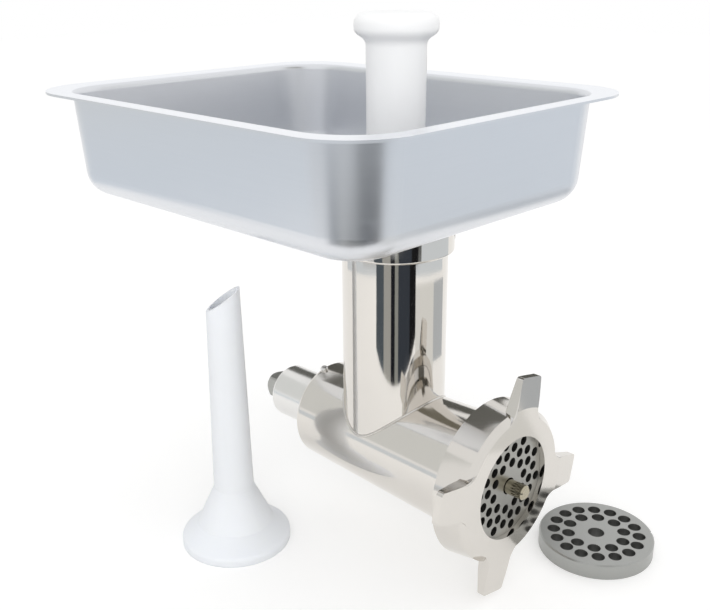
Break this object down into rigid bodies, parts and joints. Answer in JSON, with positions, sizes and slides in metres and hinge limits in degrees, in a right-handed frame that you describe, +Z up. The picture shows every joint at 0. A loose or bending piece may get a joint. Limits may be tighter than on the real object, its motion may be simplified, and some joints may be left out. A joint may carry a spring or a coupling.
{
  "type": "meat grinder head",
  "caption": "Stainless meat grinder head with a feed tube, feed pan, stomper, worm, knife, cutting plate and winged ring nut, with a stuffing tube and a spare plate beside it.",
  "frame": {"origin": "on the barrel's axis, at the rear shoulder that seats against the drive", "axes": "+X along the barrel towards the ring nut, +Z up along the feed tube"},
  "size_m": [0.3337, 0.2352, 0.319],
  "materials": {
    "polished_steel": "mirror-polished stainless steel",
    "turned_steel": "turned stainless steel",
    "shank_steel": "dull milled steel",
    "worm_steel": "satin cast stainless steel",
    "plate_steel": "ground hardened steel",
    "pan_steel": "satin pressed stainless sheet",
    "bronze": "turned bronze",
    "washer_plastic": "moulded nylon",
    "stomper_plastic": "white moulded plastic",
    "tube_plastic": "pale moulded plastic"
  },
  "bodies": {
    "head": {"barrel": "polished_steel", "feed_tube": "polished_steel", "feed_collar": "polished_steel", "drive_hub": "turned_steel", "hub_bush": "bronze", "locating_pin": "turned_steel", "plate_key": "turned_steel", "thrust_washer": "washer_plastic"},
    "worm_set": {"worm": "worm_steel", "worm_shank": "shank_steel", "shank_pin": "shank_steel", "worm_stud": "bronze", "knife": "plate_steel"},
    "plate": {"cutting_plate": "plate_steel"},
    "ring": {"ring_nut": "polished_steel"},
    "pan": {"feed_pan": "pan_steel", "pan_neck": "pan_steel"},
    "stomper": {"stomper_shaft": "stomper_plastic", "stomper_knob": "stomper_plastic"},
    "stuffing": {"stuffing_tube": "tube_plastic"},
    "spare": {"spare_plate": "plate_steel"}
  },
  "joints": [
    {"name": "worm_spin", "type": "hinge", "parent": "head", "child": "worm_set", "pos_m": [0, 0, 0], "axis": [1, 0, 0], "continuous": true},
    {"name": "plate_slide", "type": "slide", "parent": "head", "child": "plate", "axis": [1, 0, 0], "range_m": [0, 0.018]},
    {"name": "ring_turn", "type": "hinge", "parent": "plate", "child": "ring", "pos_m": [0.144, 0, 0], "axis": [1, 0, 0], "range_deg": [0, 2160]},
    {"name": "pan_lift", "type": "slide", "parent": "head", "child": "pan", "axis": [0, 0, 1], "range_m": [0, 0.06]},
    {"name": "stomper_lift", "type": "slide", "parent": "head", "child": "stomper", "axis": [0, 0, 1], "range_m": [0, 0.2]},
    {"name": "stuffing_tube_slide", "type": "slide", "parent": "head", "child": "stuffing", "axis": [0, -1, 0], "range_m": [0, 0.1]},
    {"name": "spare_plate_slide", "type": "slide", "parent": "head", "child": "spare", "axis": [0, 1, 0], "range_m": [0, 0.1]}
  ],
  "couplings": [
    {"joint": "plate_slide", "follows": "ring_turn", "m_per_rad": 0.00047746}
  ]
}
